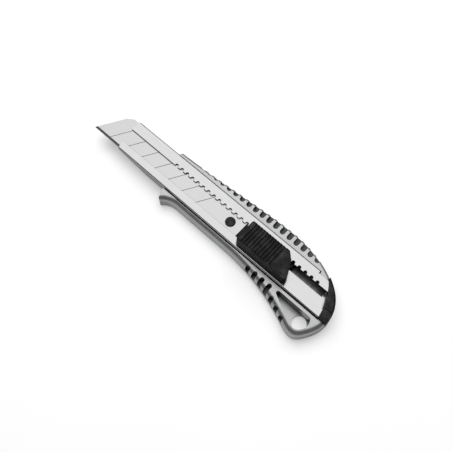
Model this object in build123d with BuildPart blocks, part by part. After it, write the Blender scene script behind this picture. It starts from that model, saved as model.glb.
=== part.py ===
from build123d import *
from math import radians, tan
import os

# A snap-off blade knife with a cast metal handle, lying on its back.
# X runs from the blade's tip to the tail, Y across the knife towards the toothed lip,
# and Z up from the cast face. Everything is in millimetres. The last lines move the whole
# knife so that its origin is the middle of its base.

# ---------------------------------------------------------------- driving sizes
# blade
blade_length = 100.0
blade_width = 18.0
blade_thickness = 0.5
segment_pitch = 10.0
score_count = 7
score_angle = 60.0
score_width = 0.3
score_depth = 0.12
bevel_width = 1.3
bevel_drop = 0.2
spine_corner = 3.6
hole_from_end = 7.0
boss_radius = 2.65

# blade rail, a folded stainless channel
sheet = 0.6
blade_side_gap = 0.1
blade_face_gap = 0.2
rail_top = 1.6
rail_depth = 5.6
rail_bend = 0.8
lower_lip = 4.45
upper_lip = 6.25
upper_lip_front = 15.4
lower_lip_front = 18.0
lip_slant = 1.5
lip_corner = 1.0
nose_flat_end = 20.0
nose_ramp_end = 40.0
rail_step_length = 5.7
rail_step = 1.7
window_front = 50.0
window_low = 1.0
window_high = 6.9

# rack of lock notches in the upper lip
notch_first = 50.2
notch_pitch = 3.84
notch_margin = 2.0
notch_radius = 1.0
notch_depth = 1.4

# cast handle
handle_thickness = 8.0
rail_gap = 0.45
strip_front = 45.8
strip_width = 2.2
hump_height = 4.7
guard_x = 53.4
guard_drop = 5.9
side_width = 2.35
tail_margin = 62.4
tail_drop = 13.6
back_start = 1.2
back_rise = 0.7
shoulder_drop = 6.2
heel_rise = 1.6
heel_in = 4.6
heel_up = 3.3
toe_in = 15.9
toe_up = 1.15
belly_lead = 17.8
hook_run = 11.5
hook_front = 3.4
hook_nose = 2.3
hook_blunt = 0.5
belly_edge = 3.0
back_edge = 1.7
low_edge = 0.8
lane_floor = 1.3

# grip notches along the back and finger slots along the belly
back_first = 61.4
back_pitch = 4.55
back_margin = 10.5
back_width = 2.9
back_corner = 0.6
back_land = 1.6
back_depth = 2.4
belly_from_tail = 46.6
belly_pitch = 4.7
belly_beside_rail = 4
belly_count = 7
belly_width = 2.5
belly_corner = 0.2
belly_land = 1.5
belly_depth = 5.0
belly_step = 2.0
belly_shift = 2.1
least_mouth = 0.1
mouth_overlap = 0.2
arc_middle = 0.293

# hanging recess and hole
hole_radius = 3.9
hang_from_tail = 10.5
hang_drop = 0.15
recess_from_tail = 12.0
recess_land = 1.5
recess_wall = 1.9
recess_length = 15.0
recess_tip_radius = 1.1
recess_depth = 6.6

# end cap
cap_length = 13.1
cap_bow = 5.6
cap_slant = 8.3
cap_height = 2.0
cap_gap = 0.2
cap_groove_y = -3.6
cap_groove = 0.5
cap_edge = 1.2
cap_arm = 5.6
cap_arm_width = 3.2

# carrier that pushes the blade
carrier_gap = 0.2
carrier_front = 4.2
plate_thickness = 1.35
carrier_length = 28.0
keel_setback = 10.0
keel_length = 21.5
keel_lift = 1.6
neck_length = 14.0
neck_setback = 15.0
neck_margin = 1.7
neck_gap = 0.4
spring_room = 0.85
neck_height = 2.4
head_margin = 1.4
head_height = 1.6

# thumb slider
knob_setback = 2.9
knob_length = 32.7
knob_width = 13.6
knob_height = 6.75
knob_gap = 0.25
knob_draft = 1.5
knob_skew = 8.7
knob_corner = 1.4
knob_edge = 0.8
rib_setback = 2.8
rib_pitch = 1.8
rib_count = 11
rib_groove = 1.05
rib_depth = 0.8
frame_bar = 1.0
pad_setback = 22.7
pad_slope = 8.0
knob_play = 0.8

# lock spring
spring_thickness = 0.35
spring_height = 0.85
spring_length = 18.0
tooth_radius = 0.7
foot_length = 2.0
foot_depth = 1.6

# rivets that hold the rail
rivet_places = [(70.0, -4.0), (112.0, -4.0)]
rivet_radius = 1.5
rivet_head = 2.4
rivet_head_height = 0.9
rivet_gap = 0.05

# ---------------------------------------------------------------- sizes that follow
half_blade = blade_width / 2
hole_x = blade_length - hole_from_end
tail_x = blade_length + tail_margin
cap_x = tail_x - cap_length
cap_bow_x = cap_x + cap_bow
cap_end_x = cap_x + cap_slant
rail_step_x = cap_x - rail_step_length
hang_x = tail_x - hang_from_tail
recess_x = tail_x - recess_from_tail
belly_first = tail_x - belly_from_tail
carrier_rear = blade_length + carrier_length
keel_front = blade_length + keel_setback
keel_rear = keel_front + keel_length
neck_x = blade_length + neck_setback
knob_front = blade_length + knob_setback
rib_first = knob_front + rib_setback
pad_x = knob_front + pad_setback
notch_count = int((cap_x - notch_margin - notch_first) / notch_pitch) + 1
tooth_index = round((neck_x - notch_first) / notch_pitch)
grip_length = cap_x - back_first
back_count = int((grip_length - back_margin) / back_pitch) + 1
rail_inner = half_blade + blade_side_gap
rail_outer = rail_inner + sheet
lip_under = rail_top - sheet
blade_top = lip_under - blade_face_gap
blade_bottom = blade_top - blade_thickness
rail_bottom = rail_top - rail_depth
floor_top = rail_bottom + sheet
nose_top = blade_bottom - blade_face_gap
slot_low = -rail_outer + lower_lip
slot_high = rail_outer - upper_lip
slot_middle = (slot_low + slot_high) / 2
cast_inner = rail_outer + rail_gap
base = -handle_thickness
strip_y = cast_inner + strip_width
side_y = -cast_inner - side_width
tail_y = -cast_inner - tail_drop
lane_bottom = base + lane_floor
recess_floor = -recess_depth
recess_y = -cast_inner - recess_land - hole_radius
hang_y = recess_y - hang_drop
knob_bottom = rail_top + knob_gap
knob_top = knob_bottom + knob_height
knob_low = slot_middle - knob_width / 2 - 0.6
knob_high = knob_low + knob_width
carrier_low = -rail_inner + carrier_gap * 2
carrier_high = rail_inner - rail_step - carrier_gap
plate_top = blade_bottom - 0.1
body_front = blade_length + 0.5
body_top = lip_under - carrier_gap
keel_low = window_low + 0.6
keel_high = window_high - 0.6
spring_y = slot_high - spring_room - spring_thickness
neck_width = spring_y - neck_gap - slot_low - neck_margin
neck_y = spring_y - neck_gap - neck_width / 2
tooth_x = notch_first + tooth_index * notch_pitch
room = knob_play + 0.3
reach = 200.0


def body_outline():
    """The outline of the whole handle seen from above, cap included."""
    with BuildSketch() as outline:
        with BuildLine():
            back = Spline(
                (strip_front + back_start, strip_y),
                (back_first, strip_y + back_rise),
                (back_first + 0.455 * grip_length, strip_y + 0.83 * hump_height),
                (back_first + 0.66 * grip_length, strip_y + hump_height),
                (back_first + 0.795 * grip_length, strip_y + 0.83 * hump_height),
                (cap_x, cast_inner + 0.15),
                tangents=[(1, 0.03), (0.87, -0.5)],
            )
            tail = Spline(
                back @ 1,
                (cap_end_x, cast_inner - shoulder_drop),
                (tail_x, -cast_inner + heel_rise),
                (tail_x - heel_in, tail_y + heel_up),
                (tail_x - toe_in, tail_y + toe_up),
                tangents=[(0.87, -0.5), (-0.917, 0.399)],
            )
            belly = TangentArc(tail @ 1, (belly_first - belly_lead, side_y), tangent=tail % 1)
            side = Line(belly @ 1, (guard_x + hook_run, side_y))
            hook_end = (guard_x + hook_front, -cast_inner - guard_drop)
            hook = TangentArc(side @ 1, hook_end, tangent=(-1, 0))
            Polyline(
                hook @ 1,
                (guard_x + hook_nose, -cast_inner - guard_drop + hook_blunt),
                (guard_x, -cast_inner),
                (strip_front, cast_inner),
                back @ 0,
            )
        make_face()
    return outline.sketch


def cap_region(clearance):
    """The part of the plan behind the rail's rear end, grown by a clearance."""
    front = cap_x - clearance
    lower = -cast_inner + 0.6 - clearance
    with BuildSketch() as region:
        with BuildLine():
            bow = ThreePointArc(
                (front, cast_inner - 1.2),
                (cap_bow_x - clearance, 0),
                (cap_end_x - clearance, lower),
            )
            Polyline(bow @ 1, (reach, lower), (reach, reach), (front, reach), bow @ 0)
        make_face()
    return region.sketch


def rail_plan(inset):
    """The rail's plan, narrower behind its step and cut to the cap, inset by a wall."""
    high = rail_outer - inset
    low = -rail_outer + inset
    with BuildSketch() as plan:
        with BuildLine():
            Polyline(
                (upper_lip_front - inset * 20, low),
                (upper_lip_front - inset * 20, high),
                (rail_step_x - inset, high),
                (rail_step_x - inset, high - rail_step),
                (tail_x, high - rail_step),
                (tail_x, low),
                close=True,
            )
        make_face()
        if inset == 0:
            add(cap_region(cap_gap), mode=Mode.SUBTRACT)
    return plan.sketch


def side_profile(top, nose, floor):
    """The channel seen from the side, with its floor rising to the nose."""
    with BuildSketch(Plane.XZ) as profile:
        with BuildLine():
            Polyline(
                (0, top),
                (reach, top),
                (reach, floor),
                (nose_ramp_end, floor),
                (nose_flat_end, nose),
                (0, nose),
                close=True,
            )
        make_face()
    return profile.sketch


def knob_outline():
    """The thumb slider from above: square front, rear edge slanted to match the cap."""
    rear = knob_front + knob_length
    with BuildSketch() as outline:
        with BuildLine():
            Polyline(
                (knob_front, knob_low),
                (rear, knob_low),
                (rear - knob_skew + 3.9, knob_high - 3.7),
                (rear - knob_skew, knob_high),
                (knob_front, knob_high),
                close=True,
            )
        make_face()
        fillet(outline.vertices(), knob_corner)
    return outline.sketch


def outline_y(x, side):
    """Where the handle's outline is, above (side 1) or below (side -1) a place along it."""
    sliver = Pos(x, side * reach / 2) * Rectangle(0.02, reach)
    box = (body_outline() & sliver).bounding_box()
    return box.max.Y if side > 0 else box.min.Y


def is_belly(edge):
    """Whether an edge of the casting's rim is along the belly, the tail or the side."""
    return edge.center().Y < side_y + 0.01


def grip_notch(x, y, width, lobe_corner):
    """A round-ended notch around (x, y) whose mouth rounds off the lobes beside it."""
    side = 1 if y > 0 else -1
    depth = max(side * (outline_y(x, side) - y), least_mouth)
    corner = min(lobe_corner, depth)
    half = width / 2
    mouth = depth - (1 - mouth_overlap) * corner
    middle_x = x + half + arc_middle * corner
    middle_y = mouth + (1 - arc_middle) * corner
    with BuildSketch() as notch:
        with BuildLine():
            inner = ThreePointArc((x - half, y), (x, y - side * half), (x + half, y))
            wall = Line(inner @ 1, (x + half, y + side * mouth))
            flare = ThreePointArc(
                wall @ 1,
                (middle_x, y + side * middle_y),
                (x + half + corner, y + side * (mouth + corner)),
            )
            Polyline(
                flare @ 1,
                (x + half + corner, y + side * (depth + width)),
                (x - half - corner, y + side * (depth + width)),
                (x - half - corner, y + side * (mouth + corner)),
            )
            back_flare = ThreePointArc(
                (x - half - corner, y + side * (mouth + corner)),
                (2 * x - middle_x, y + side * middle_y),
                (x - half, y + side * mouth),
            )
            Line(back_flare @ 1, inner @ 0)
        make_face()
    return notch.sketch


# ---------------------------------------------------------------- handle casting
with BuildPart() as rail_cavity:
    with BuildSketch(Plane.XY.offset(rail_bottom)):
        add(rail_plan(sheet))
    extrude(amount=rail_depth - sheet)
    extrude(side_profile(lip_under, nose_top, floor_top), amount=reach, both=True, mode=Mode.INTERSECT)

with BuildPart() as handle_casting:
    with BuildSketch(Plane.XY.offset(base)):
        add(body_outline())
        add(cap_region(0), mode=Mode.SUBTRACT)
    extrude(amount=handle_thickness)
    # the outer rims are rounded before the grips are cut through them: most of all the
    # belly and the tail, which lie in the palm
    top = handle_casting.edges().group_by(Axis.Z)[-1]
    fillet(top.filter_by(lambda e: is_belly(e) and e.center().X > guard_x + hook_front), belly_edge)
    top = handle_casting.edges().group_by(Axis.Z)[-1]
    fillet(top.filter_by(lambda e: e.center().Y > strip_y), back_edge)
    low = handle_casting.edges().group_by(Axis.Z)[0]
    fillet(low.filter_by(lambda e: e.center().Y > strip_y or is_belly(e)), low_edge)
    # back grip
    with BuildSketch(Plane.XY.offset(-back_depth)):
        back_y = cast_inner + back_land + back_width / 2
        for k in range(back_count):
            add(grip_notch(back_first + k * back_pitch, back_y, back_width, back_corner))
    extrude(amount=back_depth + 1, mode=Mode.SUBTRACT)
    # belly grip: the first slots start beside the rail, the rest below the recess
    with BuildSketch(Plane.XY.offset(-belly_depth)):
        for k in range(belly_count):
            below = max(0, k - belly_beside_rail + 1)
            drop = belly_step * below + (belly_shift if below else 0)
            y = -cast_inner - belly_land - belly_width / 2 - drop
            add(grip_notch(belly_first + k * belly_pitch, y, belly_width, belly_corner))
    extrude(amount=belly_depth + 1, mode=Mode.SUBTRACT)
    # seat of the rail, and the lane for the carrier's keel
    with BuildSketch(Plane.XY.offset(rail_bottom)):
        add(offset(rail_plan(0), rail_gap, kind=Kind.INTERSECTION))
    extrude(amount=rail_depth + 1, mode=Mode.SUBTRACT)
    with BuildSketch(Plane.XY.offset(lane_bottom)):
        with Locations((window_front, window_low)):
            Rectangle(cap_bow_x - window_front, window_high - window_low, align=(Align.MIN, Align.MIN))
    extrude(amount=handle_thickness, mode=Mode.SUBTRACT)
    # hanging recess with the hole through its floor
    with BuildSketch(Plane.XY.offset(recess_floor)):
        with Locations((recess_x, recess_y)):
            Circle(hole_radius + recess_wall)
        with Locations((recess_x - recess_length, -cast_inner - recess_land - recess_tip_radius)):
            Circle(recess_tip_radius)
        make_hull()
        with Locations((recess_x, 0)):
            Rectangle(reach, 2 * (cast_inner + recess_land), mode=Mode.SUBTRACT)
    extrude(amount=handle_thickness, mode=Mode.SUBTRACT)
    with BuildSketch(Plane.XY.offset(base)):
        with Locations((hang_x, hang_y)):
            Circle(hole_radius)
    extrude(amount=handle_thickness, mode=Mode.SUBTRACT)
    # rivet holes with a counterbore in the back
    with BuildSketch(Plane.XY.offset(base)):
        with Locations(rivet_places):
            Circle(rivet_radius + rivet_gap)
    extrude(amount=handle_thickness, mode=Mode.SUBTRACT)
    with BuildSketch(Plane.XY.offset(base)):
        with Locations(rivet_places):
            Circle(rivet_head + rivet_gap)
    extrude(amount=rivet_head_height, mode=Mode.SUBTRACT)

# ---------------------------------------------------------------- blade rail
with BuildPart() as blade_rail:
    with BuildSketch(Plane.XY.offset(rail_bottom)):
        add(rail_plan(0))
    extrude(amount=rail_depth)
    outside = side_profile(rail_top, nose_top - sheet, rail_bottom)
    extrude(outside, amount=reach, both=True, mode=Mode.INTERSECT)
    along = blade_rail.edges().filter_by(Axis.X)
    bends = along.filter_by(lambda e: abs(abs(e.center().Y) - rail_outer) < 0.01)
    fillet(bends.filter_by_position(Axis.Z, rail_top - 0.01, rail_top + 0.01), rail_bend)
    add(rail_cavity.part, mode=Mode.SUBTRACT)
    # the slot between the lips, with the rack of lock notches
    with BuildSketch(Plane.XY.offset(lip_under - 0.01)):
        with Locations((0, slot_low)):
            Rectangle(reach, slot_high - slot_low, align=(Align.MIN, Align.MIN))
        for k in range(notch_count):
            x = notch_first + k * notch_pitch
            with Locations((x, slot_high + notch_depth - notch_radius)):
                Circle(notch_radius)
            with Locations((x, slot_high)):
                Rectangle(2 * notch_radius, 2 * (notch_depth - notch_radius))
    extrude(amount=sheet + 1, mode=Mode.SUBTRACT)
    # front ends of the two lips, leaning forwards to a rounded corner
    with BuildSketch(Plane.XY.offset(lip_under - 0.01)):
        with BuildLine():
            Polyline(
                (0, -reach),
                (lower_lip_front + lip_slant, -rail_outer),
                (lower_lip_front, slot_low - lip_corner),
                (lower_lip_front + lip_corner, slot_low),
                (lower_lip_front + lip_corner, slot_middle),
                (upper_lip_front + lip_corner, slot_middle),
                (upper_lip_front + lip_corner, slot_high),
                (upper_lip_front, slot_high + lip_corner),
                (upper_lip_front + lip_slant, rail_outer),
                (0, reach),
                close=True,
            )
        make_face()
    extrude(amount=sheet + 1, mode=Mode.SUBTRACT)
    with BuildSketch(Plane.XY.offset(rail_bottom)):
        with BuildLine():
            Polyline(
                (0, -rail_outer - 1),
                (lower_lip_front + lip_slant, -rail_outer - 1),
                (upper_lip_front + lip_slant, rail_outer + 1),
                (0, rail_outer + 1),
                close=True,
            )
        make_face()
    extrude(amount=lip_under - rail_bottom, mode=Mode.SUBTRACT)
    # window in the floor over the keel's lane
    with BuildSketch(Plane.XY.offset(rail_bottom - 1)):
        with Locations((window_front, window_low)):
            Rectangle(cap_bow_x - 3 - window_front, window_high - window_low, align=(Align.MIN, Align.MIN))
    extrude(amount=sheet + 2, mode=Mode.SUBTRACT)
    with BuildSketch(Plane.XY.offset(rail_bottom - 1)):
        with Locations(rivet_places):
            Circle(rivet_radius + rivet_gap)
    extrude(amount=sheet + 2, mode=Mode.SUBTRACT)

# ---------------------------------------------------------------- rivets
with BuildPart() as rail_rivets:
    with BuildSketch(Plane.XY.offset(base + 0.1)):
        with Locations(rivet_places):
            Circle(rivet_head)
    extrude(amount=rivet_head_height - 0.1)
    with BuildSketch(Plane.XY.offset(base + rivet_head_height)):
        with Locations(rivet_places):
            Circle(rivet_radius)
    extrude(amount=floor_top - base - rivet_head_height)
    crowns = rail_rivets.faces().group_by(Axis.Z)[0].edges()
    fillet(crowns, rivet_head_height / 2)

# ---------------------------------------------------------------- blade
with BuildPart() as blade:
    with BuildSketch(Plane.XY.offset(blade_bottom)):
        lean = 1 / tan(radians(score_angle))
        with BuildLine():
            Polyline(
                (0, -half_blade),
                (lean * (blade_width - spine_corner * 0.75), half_blade - spine_corner * 0.75),
                (lean * blade_width + spine_corner * 0.6, half_blade),
                (blade_length, half_blade),
                (blade_length, -half_blade),
                close=True,
            )
        make_face()
        with Locations((hole_x, slot_middle)):
            Circle(boss_radius + blade_side_gap, mode=Mode.SUBTRACT)
    extrude(amount=blade_thickness)
    keen = blade.edges().filter_by(Axis.X).filter_by(lambda e: abs(e.center().Y + half_blade) < 0.01)
    chamfer(keen, length=bevel_drop, length2=bevel_width, reference=blade.faces().sort_by(Axis.Y)[0])
    # score lines across the top face, where segments snap off
    with BuildSketch(Plane.XY.offset(blade_top - score_depth)):
        for k in range(score_count):
            x = (k + 1) * segment_pitch + lean * half_blade
            with Locations(Location((x, 0), score_angle)):
                Rectangle(2 * blade_width, score_width)
    extrude(amount=1, mode=Mode.SUBTRACT)

# ---------------------------------------------------------------- blade carrier
with BuildPart() as blade_carrier:
    with BuildSketch(Plane.XY.offset(plate_top - plate_thickness)):
        with BuildLine():
            Polyline(
                (hole_x - carrier_front, carrier_low),
                (hole_x - carrier_front, carrier_high),
                (carrier_rear, carrier_high),
                (carrier_rear, carrier_low),
                close=True,
            )
        make_face()
    extrude(amount=plate_thickness)
    with BuildSketch(Plane.XY.offset(floor_top + carrier_gap)):
        with Locations((body_front, carrier_low)):
            Rectangle(carrier_rear - body_front, carrier_high - carrier_low, align=(Align.MIN, Align.MIN))
    extrude(amount=body_top - floor_top - carrier_gap)
    # boss through the blade's hole
    with BuildSketch(Plane.XY.offset(plate_top)):
        with Locations((hole_x, slot_middle)):
            Circle(boss_radius)
    extrude(amount=rail_top - plate_top)
    fillet(blade_carrier.faces().sort_by(Axis.Z)[-1].edges(), 0.5)
    # keel down in the lane, reaching out behind the slider
    with BuildSketch(Plane.XY.offset(lane_bottom + carrier_gap)):
        with Locations((keel_front, keel_low)):
            Rectangle(keel_rear - keel_front, keel_high - keel_low, align=(Align.MIN, Align.MIN))
    extrude(amount=floor_top - lane_bottom + keel_lift)
    # neck and head that carry the thumb slider
    with BuildSketch(Plane.XY.offset(body_top)):
        with Locations((neck_x, neck_y)):
            Rectangle(neck_length, neck_width)
    extrude(amount=neck_height)
    with BuildSketch(Plane.XY.offset(body_top + neck_height)):
        with Locations((neck_x, neck_y)):
            Rectangle(neck_length + 2 * head_margin, neck_width + 2 * head_margin)
    extrude(amount=head_height)
    # pocket for the lock spring's foot
    with BuildSketch(Plane.XY.offset(body_top - foot_depth)):
        with Locations((neck_x - spring_length / 2 + foot_length / 2, spring_y + spring_thickness / 2)):
            Rectangle(foot_length + 0.1, spring_thickness + 0.1)
    extrude(amount=foot_depth, mode=Mode.SUBTRACT)

# ---------------------------------------------------------------- lock spring
with BuildPart() as lock_spring:
    with BuildSketch(Plane.XY.offset(body_top + 0.05)):
        with Locations((neck_x, spring_y + spring_thickness / 2)):
            Rectangle(spring_length, spring_thickness)
        with Locations((tooth_x, slot_high + notch_depth - notch_radius)):
            Circle(tooth_radius)
        with Locations((tooth_x, spring_y)):
            Rectangle(2 * tooth_radius, slot_high + notch_depth - notch_radius - spring_y,
                      align=(Align.CENTER, Align.MIN))
    extrude(amount=spring_height)
    with BuildSketch(Plane.XY.offset(body_top - foot_depth + 0.05)):
        with Locations((neck_x - spring_length / 2 + foot_length / 2, spring_y + spring_thickness / 2)):
            Rectangle(foot_length, spring_thickness)
    extrude(amount=foot_depth)

# ---------------------------------------------------------------- thumb slider
with BuildPart() as thumb_slider:
    with BuildSketch(Plane.XY.offset(knob_bottom)):
        add(knob_outline())
    extrude(amount=knob_height, taper=knob_draft)
    fillet(thumb_slider.edges().group_by(Axis.Z)[-1], knob_edge)
    # the pad slopes down behind the ribs
    with BuildSketch(Plane.XZ):
        with BuildLine():
            Polyline(
                (pad_x, knob_top),
                (pad_x + 20, knob_top - 20 * tan(radians(pad_slope))),
                (pad_x + 20, knob_top + 5),
                (pad_x, knob_top + 5),
                close=True,
            )
        make_face()
    extrude(amount=reach, both=True, mode=Mode.SUBTRACT)
    # grooves that leave the cross ribs standing, inside a bar along the near side
    with BuildSketch(Plane.XY.offset(knob_top - rib_depth)):
        for k in range(rib_count):
            with Locations((rib_first + k * rib_pitch, knob_low + frame_bar)):
                Rectangle(rib_groove, knob_width, align=(Align.MIN, Align.MIN))
    extrude(amount=rib_depth + 1, mode=Mode.SUBTRACT)
    # room for the carrier's neck and head, with the play that frees the lock
    with BuildSketch(Plane.XY.offset(knob_bottom)):
        with Locations((neck_x, neck_y)):
            Rectangle(neck_length + 2 * room, neck_width + 0.5)
    extrude(amount=body_top + neck_height - knob_bottom, mode=Mode.SUBTRACT)
    with BuildSketch(Plane.XY.offset(body_top + neck_height - carrier_gap)):
        with Locations((neck_x, neck_y)):
            Rectangle(neck_length + 2 * head_margin + 2 * room, neck_width + 2 * head_margin + 0.5)
    extrude(amount=head_height + 2 * carrier_gap, mode=Mode.SUBTRACT)

# ---------------------------------------------------------------- end cap
with BuildPart() as end_cap:
    with BuildSketch(Plane.XY.offset(base)):
        add(body_outline())
        add(cap_region(0), mode=Mode.INTERSECT)
    extrude(amount=cap_height - base)
    shell = end_cap.edges().filter_by(GeomType.BSPLINE)
    fillet(shell.group_by(Axis.Z)[0], low_edge)
    fillet(end_cap.edges().filter_by(GeomType.BSPLINE).group_by(Axis.Z)[-1], cap_edge)
    # the lower third of the top is set back behind a groove
    with BuildSketch(Plane.XY.offset(cap_height - cap_groove)):
        with Locations((reach / 2, cap_groove_y)):
            Rectangle(reach, reach, align=(Align.CENTER, Align.MAX))
    extrude(amount=5, mode=Mode.SUBTRACT)
    # two arms that grip under the lips
    with BuildSketch(Plane.XY.offset(floor_top + carrier_gap)):
        with Locations((cap_end_x - cap_arm, -rail_inner + carrier_gap)):
            Rectangle(cap_arm + 1.5, cap_arm_width, align=(Align.MIN, Align.MIN))
        with Locations((cap_x + cap_gap, rail_inner - rail_step - carrier_gap)):
            Rectangle(cap_arm / 2, cap_arm_width / 4, align=(Align.MIN, Align.MAX))
    extrude(amount=body_top - floor_top - carrier_gap)

# ---------------------------------------------------------------- placing and writing
pieces = {
    "handle_casting": handle_casting,
    "blade_rail": blade_rail,
    "rail_rivets": rail_rivets,
    "blade": blade,
    "blade_carrier": blade_carrier,
    "lock_spring": lock_spring,
    "thumb_slider": thumb_slider,
    "end_cap": end_cap,
}
boxes = [piece.part.bounding_box() for piece in pieces.values()]
middle_x = (min(box.min.X for box in boxes) + max(box.max.X for box in boxes)) / 2
middle_y = (min(box.min.Y for box in boxes) + max(box.max.Y for box in boxes)) / 2
shift = Location((-middle_x, -middle_y, -min(box.min.Z for box in boxes)))
os.makedirs("parts", exist_ok=True)
for label, piece in pieces.items():
    piece.part.move(shift)
    piece.part.label = label
    export_step(piece.part, f"parts/{label}.step")
print("moved by", shift.position)
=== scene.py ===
# %% [markdown]
# # A snap-off blade knife
# The imported model already gives every part of the knife its true place: the cast handle,
# the bent steel rail, the blade, its carrier, the thumb slider, the lock spring and the cap.
# This lesson gives those parts softened edges and finishes, with some light and shade painted into their
# colours, and lights them.
# Everything is in metres. X runs from the blade's tip to the tail, Z is up.

# %% Load the frame
from math import cos, radians, sin

import bmesh
import bpy
from mathutils import Matrix, Vector


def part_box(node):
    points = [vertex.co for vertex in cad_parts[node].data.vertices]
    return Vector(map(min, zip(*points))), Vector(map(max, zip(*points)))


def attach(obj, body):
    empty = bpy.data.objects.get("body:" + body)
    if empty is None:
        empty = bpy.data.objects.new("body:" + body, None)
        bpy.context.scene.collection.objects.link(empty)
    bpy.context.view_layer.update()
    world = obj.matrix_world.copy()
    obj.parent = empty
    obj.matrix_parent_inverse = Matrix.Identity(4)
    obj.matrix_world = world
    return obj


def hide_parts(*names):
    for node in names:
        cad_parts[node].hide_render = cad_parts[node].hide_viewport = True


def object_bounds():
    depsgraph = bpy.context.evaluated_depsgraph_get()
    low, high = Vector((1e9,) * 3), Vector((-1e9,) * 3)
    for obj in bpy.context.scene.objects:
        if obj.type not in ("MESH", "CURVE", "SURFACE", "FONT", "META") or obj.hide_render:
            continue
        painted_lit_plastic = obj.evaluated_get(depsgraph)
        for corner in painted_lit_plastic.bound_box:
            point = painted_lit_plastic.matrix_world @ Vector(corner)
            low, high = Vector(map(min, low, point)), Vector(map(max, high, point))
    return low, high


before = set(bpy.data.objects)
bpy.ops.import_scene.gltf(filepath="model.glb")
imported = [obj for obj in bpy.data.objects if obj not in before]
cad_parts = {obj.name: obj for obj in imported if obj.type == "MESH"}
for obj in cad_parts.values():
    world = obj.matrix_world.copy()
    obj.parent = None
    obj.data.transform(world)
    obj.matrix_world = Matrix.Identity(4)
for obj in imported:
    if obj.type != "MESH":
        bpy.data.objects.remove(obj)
cad_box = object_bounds()
MM = 0.001

# %% [markdown]
# Three levels place everything: the blade's tip, the middle of the rail and the cast
# handle's top face. Reading them from the parts' own boxes keeps every later number short.

# %% Levels on the knife
blade_low, blade_high = (Vector(corner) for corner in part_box("blade"))
rail_low, rail_high = (Vector(corner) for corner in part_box("blade_rail"))
cast_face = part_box("handle_casting")[1][2]
TIP = Vector((blade_low.x, (rail_low.y + rail_high.y) / 2, cast_face))
print("tip, rail middle and cast face in mm:", [round(value / MM, 2) for value in TIP])

# %% [markdown]
# A real moulded edge is never perfectly sharp: it catches a thin line of light. The parts
# come as loose triangles, so a copy is first welded, its corners are marked sharp, and then
# the slider and the carrier are bevelled. Welding first matters, because a bevel on loose
# triangles has no edge to work on. The casting, the rail and the cap already have their real
# rounded rims, so they are only welded and shaded smooth. Each copy replaces the plain part.


# %% Soften a part's edges
WELD_DISTANCE = 0.5e-6
SHARP_ANGLE = radians(38.0)
BEVEL_SEGMENTS = 3
FLAT_FACE_WEIGHT = 80


def softened(node, body, width=0.0):
    """A welded copy of a part, with its sharp edges rounded if a width is given."""
    form = bmesh.new()
    form.from_mesh(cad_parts[node].data)
    bmesh.ops.remove_doubles(form, verts=form.verts, dist=WELD_DISTANCE)
    for face in form.faces:
        face.smooth = True
    for edge in form.edges:
        edge.smooth = edge.is_manifold and edge.calc_face_angle() < SHARP_ANGLE
    mesh = bpy.data.meshes.new(node + "_soft")
    form.to_mesh(mesh)
    form.free()
    piece = bpy.data.objects.new(node + "_soft", mesh)
    bpy.context.scene.collection.objects.link(piece)
    if width:
        bevel = piece.modifiers.new("edges", "BEVEL")
        bevel.limit_method = "ANGLE"
        bevel.angle_limit = SHARP_ANGLE
        bevel.width = width
        bevel.segments = BEVEL_SEGMENTS
        bevel.profile = 0.5
        bevel.use_clamp_overlap = False
        bevel.miter_outer = "MITER_ARC"
    shade = piece.modifiers.new("shading", "WEIGHTED_NORMAL")
    shade.keep_sharp = True
    shade.weight = FLAT_FACE_WEIGHT
    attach(piece, body)
    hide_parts(node)
    print(node, "rounded by", width / MM, "mm,", len(mesh.polygons), "faces")
    return piece


handle = softened("handle_casting", "handle")
rail = softened("blade_rail", "handle")
slider = softened("thumb_slider", "knob", 0.20 * MM)
cap = softened("end_cap", "cap")
carrier = softened("blade_carrier", "carriage", 0.18 * MM)

# %% [markdown]
# Finishes are written as small sums. `Signal` wraps one output of a node, so that
# `1 - mask` or `grain * 0.2` adds the Math nodes itself, and `Finish` holds one material
# with its shader, its noises and its bumps.


# %% Signals: arithmetic on node outputs
class Signal:
    """One number that changes over a surface."""

    def __init__(self, finish, socket):
        self.finish = finish
        self.socket = socket

    def math(self, operation, other, swap=False):
        pair = [other, self] if swap else [self, other]
        made = self.finish.node("ShaderNodeMath", {"operation": operation}, dict(enumerate(pair)))
        return Signal(self.finish, made.outputs[0])

    def __add__(self, other):
        return self.math("ADD", other)

    def __radd__(self, other):
        return self.math("ADD", other, swap=True)

    def __sub__(self, other):
        return self.math("SUBTRACT", other)

    def __rsub__(self, other):
        return self.math("SUBTRACT", other, swap=True)

    def __mul__(self, other):
        return self.math("MULTIPLY", other)

    def __rmul__(self, other):
        return self.math("MULTIPLY", other, swap=True)

    def most(self, other):
        return self.math("MAXIMUM", other)

    def between(self, low, high):
        """0 below low, 1 above high, smooth in between."""
        made = self.finish.node(
            "ShaderNodeMapRange",
            {"interpolation_type": "SMOOTHSTEP", "clamp": True},
            {"Value": self, "From Min": low, "From Max": high},
        )
        return Signal(self.finish, made.outputs[0])


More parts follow.
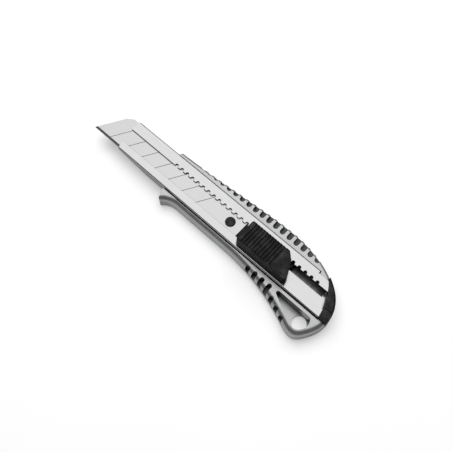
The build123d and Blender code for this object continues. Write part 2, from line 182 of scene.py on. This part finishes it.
# %% Finish: one material
class Finish:
    """A Principled material whose patterns sit on the object's own coordinates."""

    def __init__(self, name, **constants):
        self.material = bpy.data.materials.new(name)
        self.material.use_nodes = True
        self.tree = self.material.node_tree
        self.tree.nodes.clear()
        self.shader = self.tree.nodes.new("ShaderNodeBsdfPrincipled")
        output = self.tree.nodes.new("ShaderNodeOutputMaterial")
        self.tree.links.new(self.shader.outputs[0], output.inputs["Surface"])
        self.place = self.tree.nodes.new("ShaderNodeTexCoord").outputs["Object"]
        for label, value in constants.items():
            self.shader.inputs[label.replace("_", " ")].default_value = value

    def node(self, kind, settings, values):
        made = self.tree.nodes.new(kind)
        for label, value in settings.items():
            setattr(made, label, value)
        for label, value in values.items():
            if isinstance(value, Signal):
                value = value.socket
            if isinstance(value, bpy.types.NodeSocket):
                self.tree.links.new(value, made.inputs[label])
            else:
                made.inputs[label].default_value = value
        return made

    def axis(self, name):
        made = self.node("ShaderNodeSeparateXYZ", {}, {0: self.place})
        return Signal(self, made.outputs[name])

    def noise(self, size, detail=2.0, stretch=(1, 1, 1)):
        """Cloudy noise whose features are about size across, longer where stretch is larger."""
        scale = [1 / (size * factor) for factor in stretch]
        mapped = self.node("ShaderNodeMapping", {}, {"Vector": self.place, "Scale": scale})
        values = {"Vector": mapped.outputs[0], "Scale": 1.0, "Detail": detail}
        made = self.node("ShaderNodeTexNoise", {}, values)
        return Signal(self, made.outputs[0])

    def cells(self, size):
        """Rounded grains about size across."""
        made = self.node("ShaderNodeTexVoronoi", {}, {"Vector": self.place, "Scale": 1 / size})
        return Signal(self, made.outputs["Distance"])

    def slope(self, name):
        """How far the surface looks along an axis, from -1 to 1."""
        normal = self.node("ShaderNodeNewGeometry", {}, {}).outputs["Normal"]
        made = self.node("ShaderNodeSeparateXYZ", {}, {0: normal})
        return Signal(self, made.outputs[name])

    def painted_light_side(self, low, high, tilt=0.5):
        """1 on flats and on slopes towards the cutting edge's side, 0 on slopes away from it: a mask
        that paints light and shade by a face's direction.
        """
        level = self.slope("Z").math("ABSOLUTE", 0.0)
        return (level * (1 - tilt**2) ** 0.5 - self.slope("Y") * tilt).between(low, high)

    def flat(self):
        """1 on faces that look straight up."""
        return self.slope("Z").between(0.90, 0.98)

    def painted_occlusion(self, reach, low=0.25, high=0.95):
        """0 deep in gaps and corners, 1 where the surface lies open: a mask that paints shade into
        corners.
        """
        made = self.node("ShaderNodeAmbientOcclusion", {"samples": 8}, {"Distance": reach})
        return Signal(self, made.outputs["AO"]).between(low, high)

    def blend(self, mask, low, high):
        """A colour that goes from low to high as mask goes from 0 to 1."""
        made = self.node("ShaderNodeMix", {"data_type": "RGBA"}, {0: mask, 6: low, 7: high})
        return made.outputs[2]

    def paint(self, **inputs):
        for label, value in inputs.items():
            if isinstance(value, Signal):
                value = value.socket
            self.tree.links.new(value, self.shader.inputs[label.replace("_", " ")])

    def bump(self, height, depth, strength=1.0):
        """Height in 0..1 stands for a relief of the given depth."""
        values = {"Height": height, "Distance": depth, "Strength": strength}
        made = self.node("ShaderNodeBump", {}, values)
        self.tree.links.new(made.outputs[0], self.shader.inputs["Normal"])


def grey(value, warmth=0.0):
    return (value * (1 + warmth), value, value * (1 - warmth), 1.0)


def wear(finish, *pieces):
    """Every face of those pieces gets this finish."""
    for piece in pieces:
        piece.data.materials.clear()
        piece.data.materials.append(finish.material)
    print(finish.material.name, "on", ", ".join(piece.name for piece in pieces))


# %% [markdown]
# The handle is a zinc die casting with a thin silver finish. It isn't a mirror: it is
# satin, with a very fine grain like an orange's skin, faint clouds from the mould, and
# places that hands have polished. Three noises, from coarse to fine, give all of that.
# The grip notches and their floors, the corners and the walls that don't look towards the
# cutting edge's side take a near black colour as painted shade, and the flat faces a lighter
# painted lit tone. The notches' floors are picked out by their depth below the cast face,
# between the face itself and the recess's lower floor.

# %% Cast metal
FACE_END = 1.0 * MM
NOTCHES_BEGIN = 2.0 * MM
NOTCHES_END = 5.4 * MM
RECESS_BEGINS = 6.0 * MM
cast = Finish("cast_metal", Metallic=0.9)
clouds = cast.noise(9 * MM, detail=3.0)
grain = cast.noise(0.35 * MM, detail=4.0)
speckle = cast.noise(0.9 * MM, detail=2.0).between(0.52, 0.72)
tone = (clouds * 0.55 + grain * 0.45).between(0.3, 0.7)
# A lit and a shaded copy of the same metal: the light one for painted light, the near black one for
# painted shade.
painted_lit_tone = cast.blend(tone, grey(0.27), grey(0.34, -0.01))
painted_shade_tone = cast.blend(tone, grey(0.025), grey(0.05, -0.01))
sunk = TIP.z - cast.axis("Z")
below_face = sunk.between(FACE_END, NOTCHES_BEGIN)
above_recess = 1 - sunk.between(NOTCHES_END, RECESS_BEGINS)
painted_shade_notch_floor = below_face * above_recess * cast.flat()
# Painted light and shade: light by the face's direction, shade in corners and on the notch floors.
painted_lit_mask = cast.painted_light_side(0.0, 0.62) * cast.painted_occlusion(2.0 * MM, 0.3, 0.8) * (1 - painted_shade_notch_floor)
cast.paint(
    Base_Color=cast.blend(painted_lit_mask, painted_shade_tone, painted_lit_tone),
    Roughness=clouds * 0.12 + grain * 0.14 + speckle * 0.05 + 0.22,
)
cast.bump(grain * 0.7 + speckle * 0.3, 0.012 * MM, strength=0.7)
wear(cast, handle)

# %% [markdown]
# The rail is bright rolled sheet: almost a mirror, with hair lines that run along it
# because that is how the strip left the rollers. A noise stretched along X gives them.

# %% Rail steel
sheet = Finish("rail_steel", Metallic=1.0)
hair = sheet.noise(0.10 * MM, detail=3.0, stretch=(120, 1, 1))
marks = sheet.noise(0.45 * MM, detail=2.0, stretch=(14, 1, 1)).between(0.58, 0.75)
smear = sheet.noise(7 * MM, detail=2.0)
bright = sheet.blend(hair * 0.6 + smear * 0.4, grey(0.28), grey(0.36))
# Painted shade: the colour goes near black on upright faces, most of all those looking away from the
# cutting edge's side, and in the rail's corners.
sheet.paint(
    Base_Color=sheet.blend(sheet.painted_light_side(0.35, 0.83) * sheet.painted_occlusion(1.2 * MM), grey(0.04), bright),
    Roughness=hair * 0.12 + smear * 0.10 + marks * 0.08 + 0.08,
)
sheet.bump(hair * 0.8 + marks * 0.2, 0.003 * MM, strength=0.5)
wear(sheet, rail)

# %% [markdown]
# The blade is ground across its width, so its hair lines run the other way. Its cutting
# edge is ground again, darker. The score lines where segments snap off are real grooves,
# and painted shade darkens them: whatever lies below the blade's face takes the dark tone.
# The ground edge is the strip within reach of the edge. Corners and the places under the
# rail's lips take painted shade too.

# %% Blade steel
blade = Finish("blade_steel", Metallic=1.0)
EDGE_WIDTH = 1.35 * MM
GROOVE_DEPTH = 0.05 * MM
cross = blade.noise(0.07 * MM, detail=3.0, stretch=(1, 90, 90))
oil = blade.noise(11 * MM, detail=3.0)
depth = blade_high.z - blade.axis("Z")
# Painted shade in the score grooves.
painted_groove_shade = depth.between(GROOVE_DEPTH * 0.4, GROOVE_DEPTH)
ground = 1 - (blade.axis("Y") - blade_low.y).between(EDGE_WIDTH * 0.92, EDGE_WIDTH)
ground_edge_and_groove_shade = painted_groove_shade.most(ground)
face_tone = blade.blend(cross * 0.6 + oil * 0.4, grey(0.28), grey(0.37))
# Painted shade in corners and under the rail's lips.
painted_corner_shade = 1 - blade.painted_occlusion(2.0 * MM, 0.35, 0.85)
blade.paint(
    Base_Color=blade.blend(ground_edge_and_groove_shade.most(painted_corner_shade), face_tone, grey(0.06)),
    Roughness=cross * 0.12 + oil * 0.12 + ground_edge_and_groove_shade * 0.1 + 0.18,
)
blade.bump(cross, 0.003 * MM, strength=0.5)
wear(blade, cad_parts["blade"])

# %% [markdown]
# Small steel parts: the lock spring is cold-rolled strip, and the rivets' heads carry the
# rings and dents of the tool that closed them.

# %% Small steel parts
strip = Finish("spring_steel", Metallic=1.0)
rolled = strip.noise(0.08 * MM, detail=2.0, stretch=(60, 1, 1))
strip.paint(Base_Color=strip.blend(rolled, grey(0.42), grey(0.60)), Roughness=rolled * 0.2 + 0.2)
strip.bump(rolled, 0.003 * MM, strength=0.5)
wear(strip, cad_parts["lock_spring"])

head = Finish("rivet_steel", Metallic=1.0)
dents = head.cells(0.5 * MM)
haze = head.noise(0.8 * MM, detail=3.0)
head.paint(Base_Color=head.blend(haze, grey(0.40), grey(0.58)), Roughness=haze * 0.2 + 0.25)
head.bump(dents, 0.03 * MM, strength=0.6)
wear(head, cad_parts["rail_rivets"])

# %% [markdown]
# The plastics are black but never one black. The mould was etched, which gives a fine
# grain, and touched places go smoother and shinier. The slider is handled all day, so it
# is a little more worn and a little greyer than the cap. Their colour also carries painted
# light and shade: open faces that look up go lighter, walls that look away and corners darker.


# %% Moulded plastic
def moulded(name, base, roughness, grain_size, relief):
    """Etched black plastic: grain in the relief, clouds in the gloss, painted light and shade in the
    colour.
    """
    finish = Finish(name, Specular_IOR_Level=0.12)
    etched = finish.cells(grain_size)
    fine = finish.noise(grain_size * 0.6, detail=3.0)
    rubbed = finish.noise(3.5 * MM, detail=3.0).between(0.4, 0.7)
    painted_lit_plastic = finish.painted_light_side(0.55, 0.90) * finish.painted_occlusion(1.0 * MM, 0.3, 0.9)
    # Painted light and shade: from a third of the base on walls and in corners to five times it on open
    # faces that look up, where rubbed.
    finish.paint(
        Base_Color=finish.blend(painted_lit_plastic * (fine * 0.4 + rubbed * 0.6), grey(base * 0.3), grey(base * 5.0)),
        Roughness=fine * 0.14 - rubbed * 0.08 + roughness,
    )
    finish.bump(etched * 0.6 + fine * 0.4, relief, strength=0.6)
    return finish


wear(moulded("grip_plastic", 0.011, 0.44, 0.28 * MM, 0.02 * MM), slider)
wear(moulded("black_plastic", 0.009, 0.40, 0.34 * MM, 0.02 * MM), cap, carrier)

# %% [markdown]
# The floor is a plain pale sheet, large enough to fill the camera's view. It glows a little,
# as a sheet of paper lit from all sides does, which keeps it white while the metal stays
# contrasty.

# %% Floor
FLOOR_SIZE = 6.0
floor_form = bmesh.new()
bmesh.ops.create_grid(floor_form, x_segments=1, y_segments=1, size=FLOOR_SIZE / 2)
bmesh.ops.translate(floor_form, verts=floor_form.verts, vec=(0, 0, cad_box[0][2]))
floor_mesh = bpy.data.meshes.new("floor")
floor_form.to_mesh(floor_mesh)
floor_form.free()
floor = bpy.data.objects.new("floor", floor_mesh)
bpy.context.scene.collection.objects.link(floor)
paper = Finish(
    "paper",
    Roughness=0.9,
    Specular_IOR_Level=0.0,
    Emission_Color=grey(1.0),
    Emission_Strength=0.34,
)
fibre = paper.noise(60 * MM, detail=2.0)
paper.paint(Base_Color=paper.blend(fibre, grey(0.90), grey(0.92)))
wear(paper, floor)

# %% [markdown]
# One large soft light hangs where the flat faces mirror it to the eye, so that they read
# as bright metal. A second, from behind, throws the soft shadow towards the front left.
# The world stays dim, so that rounded edges and the walls of the grips turn dark.

# %% Lights
middle = (Vector(cad_box[0]) + Vector(cad_box[1])) / 2


def soft_light(name, direction, distance, size, power):
    """A square light that looks at the knife from a direction."""
    data = bpy.data.lights.new(name, "AREA")
    data.shape = "SQUARE"
    data.size = size
    data.energy = power
    light = bpy.data.objects.new(name, data)
    towards = Vector(direction).normalized()
    turn = towards.to_track_quat("Z", "Y").to_matrix().to_4x4()
    light.matrix_world = Matrix.Translation(middle + towards * distance) @ turn
    bpy.context.scene.collection.objects.link(light)
    print(name, "at", [round(value, 2) for value in light.location], "with", power, "W")


soft_light("overhead", (-0.27, 0.30, 0.92), 0.80, 0.90, 5.4)
soft_light("behind", (0.10, 0.85, 0.55), 0.80, 0.35, 0.3)

world = bpy.data.worlds.new("studio")
world.use_nodes = True
world.node_tree.nodes["Background"].inputs["Color"].default_value = grey(1.0)
world.node_tree.nodes["Background"].inputs["Strength"].default_value = 0.22
bpy.context.scene.world = world
bpy.context.scene.view_settings.view_transform = "Standard"

# %% [markdown]
# The camera looks down at the knife from its front right. It is placed by the point it
# aims at, the two angles of its line of sight and its distance, which is how a tripod is
# set. The lens and its sensor are in millimetres.

# %% Camera
AZIMUTH = radians(42.64)
ELEVATION = radians(66.37)
DISTANCE = 305.8 * MM
AIM = TIP + Vector((92.68, -3.82, 0.0)) * MM
SENSOR_WIDTH = 36.0
LENS = 47.788
NEAREST = 0.01

back = Vector((sin(AZIMUTH) * cos(ELEVATION), -cos(AZIMUTH) * cos(ELEVATION), sin(ELEVATION)))
right = Vector((cos(AZIMUTH), sin(AZIMUTH), 0))
up = back.cross(right)
camera_data = bpy.data.cameras.new("camera")
camera_data.sensor_width = SENSOR_WIDTH
camera_data.lens = LENS
camera_data.clip_start = NEAREST
camera = bpy.data.objects.new("camera", camera_data)
turn = Matrix((right, up, back)).transposed().to_4x4()
camera.matrix_world = Matrix.Translation(AIM + back * DISTANCE) @ turn
bpy.context.scene.collection.objects.link(camera)
bpy.context.scene.camera = camera
print("camera at", [round(value, 3) for value in camera.location], "lens", round(camera_data.lens, 1))
